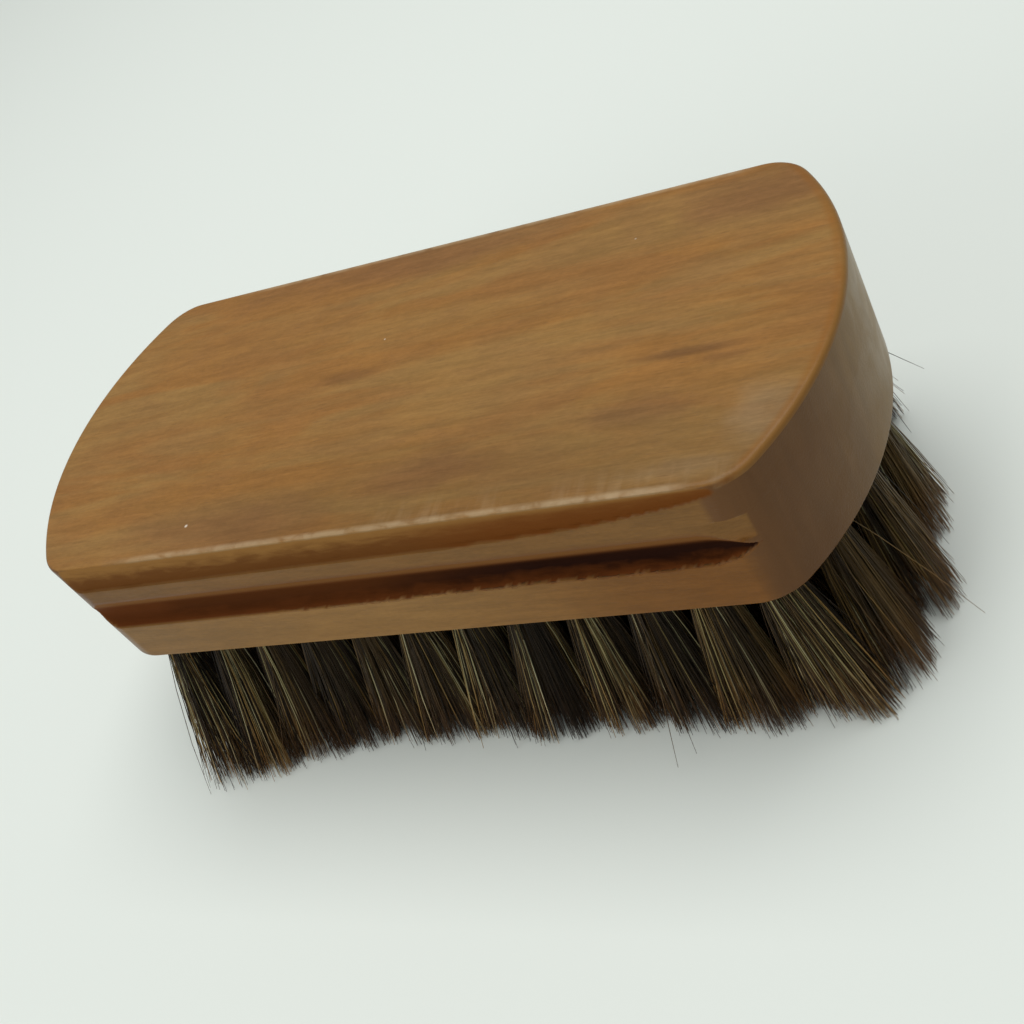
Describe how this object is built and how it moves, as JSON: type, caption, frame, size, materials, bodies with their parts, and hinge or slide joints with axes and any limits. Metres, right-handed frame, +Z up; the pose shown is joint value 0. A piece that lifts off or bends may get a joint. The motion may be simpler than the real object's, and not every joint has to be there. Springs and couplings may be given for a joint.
{
  "type": "shoe shine brush",
  "caption": "Hand-held shoe shine brush: a stained wooden block with finger grooves and wire-anchored horsehair tufts under it.",
  "frame": {"origin": "on the plane that the hair tips stand on, under the middle of the brush", "axes": "+X along the length of the block, +Y across it, +Z up out of the flat top face"},
  "size_m": [0.1254, 0.0546, 0.044],
  "materials": {
    "stained_wood": "satin lacquer over brown stain",
    "horsehair": "natural dark brown hair with blond and grey strands",
    "flat_wire": "galvanised flat wire"
  },
  "bodies": {
    "root": {"handle_block": "stained_wood", "front_tuft_01": "horsehair", "front_tuft_02": "horsehair", "front_tuft_03": "horsehair", "front_tuft_04": "horsehair", "front_tuft_05": "horsehair", "front_tuft_06": "horsehair", "front_tuft_07": "horsehair", "front_tuft_08": "horsehair", "front_tuft_09": "horsehair", "front_tuft_10": "horsehair", "front_tuft_11": "horsehair", "front_tuft_12": "horsehair", "right_tuft_01": "horsehair", "right_tuft_02": "horsehair", "right_tuft_03": "horsehair", "right_tuft_04": "horsehair", "back_tuft_01": "horsehair", "back_tuft_02": "horsehair", "back_tuft_03": "horsehair", "back_tuft_04": "horsehair", "back_tuft_05": "horsehair", "back_tuft_06": "horsehair", "back_tuft_07": "horsehair", "back_tuft_08": "horsehair", "back_tuft_09": "horsehair", "back_tuft_10": "horsehair", "back_tuft_11": "horsehair", "back_tuft_12": "horsehair", "left_tuft_01": "horsehair", "left_tuft_02": "horsehair", "left_tuft_03": "horsehair", "left_tuft_04": "horsehair", "inner_front_tufts": "horsehair", "inner_middle_tufts": "horsehair", "inner_back_tufts": "horsehair", "front_anchors": "flat_wire", "right_anchors": "flat_wire", "back_anchors": "flat_wire", "left_anchors": "flat_wire", "inner_front_anchors": "flat_wire", "inner_middle_anchors": "flat_wire", "inner_back_anchors": "flat_wire"}
  },
  "joints": []
}
